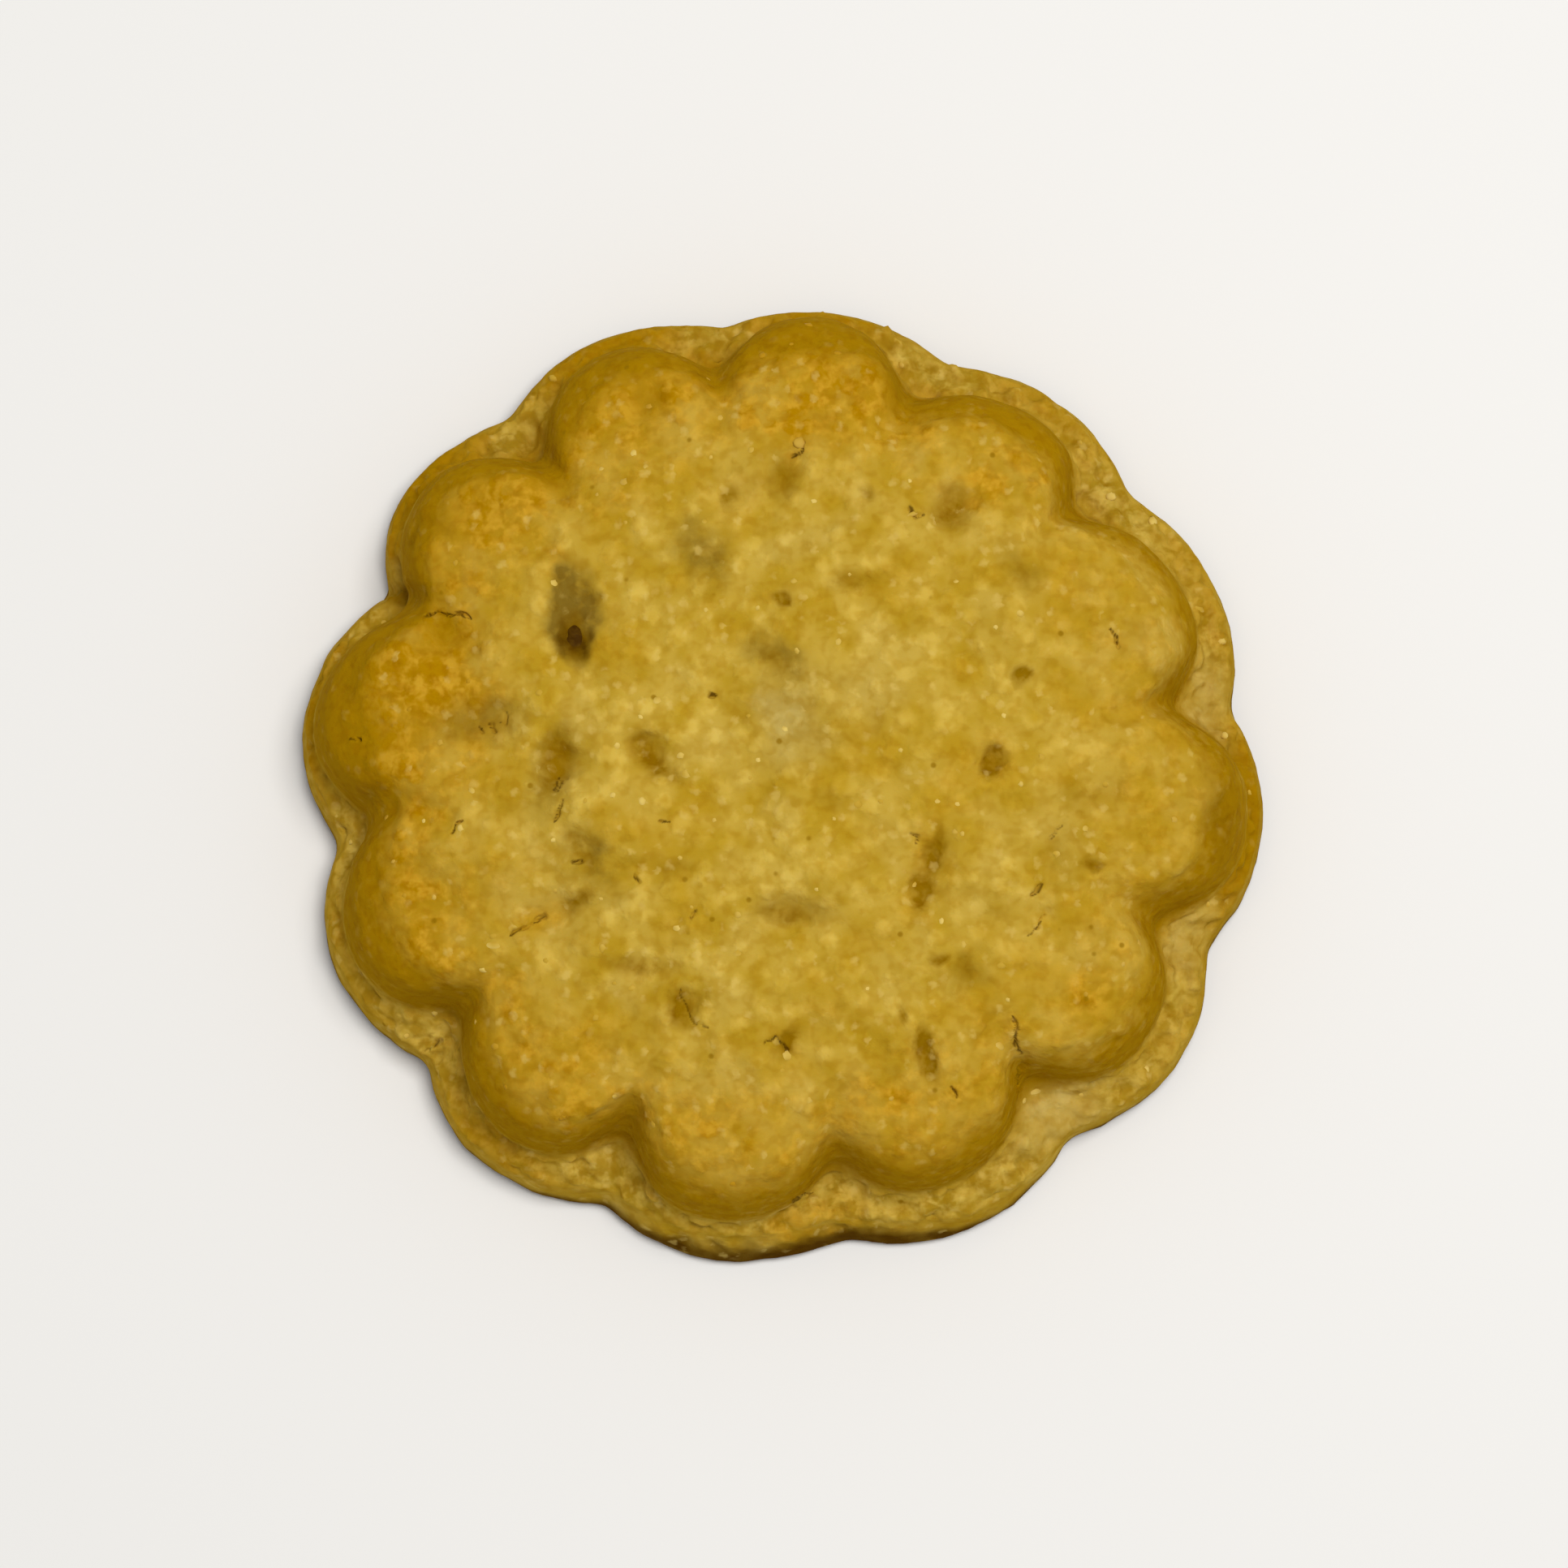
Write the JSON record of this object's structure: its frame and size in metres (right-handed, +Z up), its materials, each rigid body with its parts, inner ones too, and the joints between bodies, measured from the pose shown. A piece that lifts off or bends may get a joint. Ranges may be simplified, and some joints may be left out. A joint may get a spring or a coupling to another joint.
{
  "type": "maamoul biscuit",
  "caption": "Round moulded semolina biscuit: a fluted, gently domed crown with a lumpy, dimpled top on a thin scalloped base that rests flat.",
  "frame": {"origin": "middle of the footprint's bounding box, on the flat underside", "axes": "+Z up out of the crown, through the biscuit's thinnest way; +X to the right and +Y away as it lies seen from the front"},
  "size_m": [0.0602, 0.0598, 0.0146],
  "materials": {
    "crust": "baked semolina shortbread, matt, toasted on the lobes and browned on the walls and underside"
  },
  "bodies": {
    "root": {"biscuit": "crust"}
  },
  "joints": []
}
